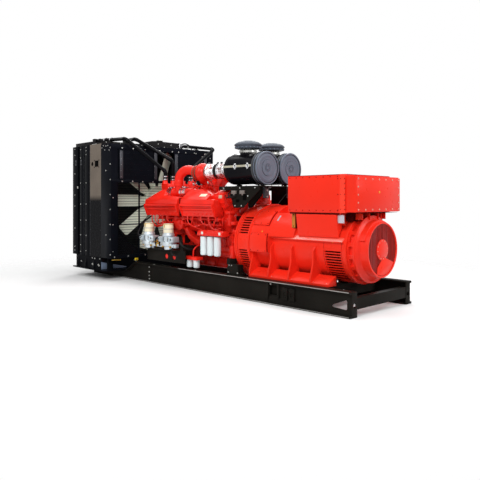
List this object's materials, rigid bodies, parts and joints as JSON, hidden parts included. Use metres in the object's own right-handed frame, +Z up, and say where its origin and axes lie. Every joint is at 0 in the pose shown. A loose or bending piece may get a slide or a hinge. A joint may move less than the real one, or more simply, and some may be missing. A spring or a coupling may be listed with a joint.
{
  "type": "engine generator set",
  "caption": "Open generating set on a black steel skid: unit radiator with fan and guard, red V engine with air cleaners, red alternator with a large terminal box.",
  "frame": {"origin": "middle of the skid underside, centred in length and width", "axes": "+X along the set toward the alternator end, +Y across the set away from the filter side, +Z up"},
  "size_m": [5.72, 2.28, 2.48],
  "materials": {
    "skid_black": "gloss black paint on heavy steel",
    "radiator_black": "gloss black paint on sheet steel",
    "core_metal": "dull tubes and fins",
    "fan_plastic": "grey-green moulded blades",
    "pipe_black": "gloss black paint on pipe",
    "engine_red": "gloss red engine paint over castings",
    "alternator_red": "satin red paint over sheet and cast iron",
    "filter_white": "pale smooth can",
    "filter_cream": "cream can over light alloy manifold",
    "cleaner_black": "gloss black paint with grey end covers",
    "cap_grey": "dark grey satin rain cap"
  },
  "bodies": {
    "generating_set": {"skid_rail_near": "skid_black", "skid_rail_far": "skid_black", "skid_end_member": "skid_black", "skid_cross_front": "skid_black", "skid_cross_rear": "skid_black", "radiator_base": "radiator_black", "radiator_core": "core_metal", "radiator_frame_near": "radiator_black", "radiator_frame_far": "radiator_black", "radiator_top_tank": "radiator_black", "fan_shroud": "radiator_black", "fan_guard": "radiator_black", "fan_hub": "radiator_black", "coolant_pipe_near": "pipe_black", "coolant_pipe_middle": "pipe_black", "coolant_pipe_far": "pipe_black", "cylinder_block": "engine_red", "oil_pan": "engine_red", "thermostat_housing": "engine_red", "flywheel_housing": "engine_red", "cylinder_heads_near": "engine_red", "cylinder_heads_far": "engine_red", "charge_air_near": "engine_red", "charge_air_far": "engine_red", "turbocharger_near": "engine_red", "turbocharger_far": "engine_red", "engine_mount_near": "skid_black", "engine_mount_far": "skid_black", "oil_filters": "filter_white", "bypass_filters": "filter_white", "fuel_filters": "filter_cream", "fuel_filter_bracket": "skid_black", "air_cleaner_near": "cleaner_black", "air_cleaner_far": "cleaner_black", "rain_cap_near": "cap_grey", "rain_cap_far": "cap_grey", "air_cleaner_bracket": "skid_black", "alternator_frame": "alternator_red", "alternator_adaptor": "alternator_red", "alternator_cowl": "alternator_red", "terminal_box": "alternator_red", "cable_box": "alternator_red"},
    "fan_rotor": {"cooling_fan": "fan_plastic"}
  },
  "joints": [
    {"name": "fan_spin", "type": "hinge", "parent": "generating_set", "child": "fan_rotor", "pos_m": [-1.83, 0, 1.3555], "axis": [1, 0, 0], "continuous": true}
  ]
}
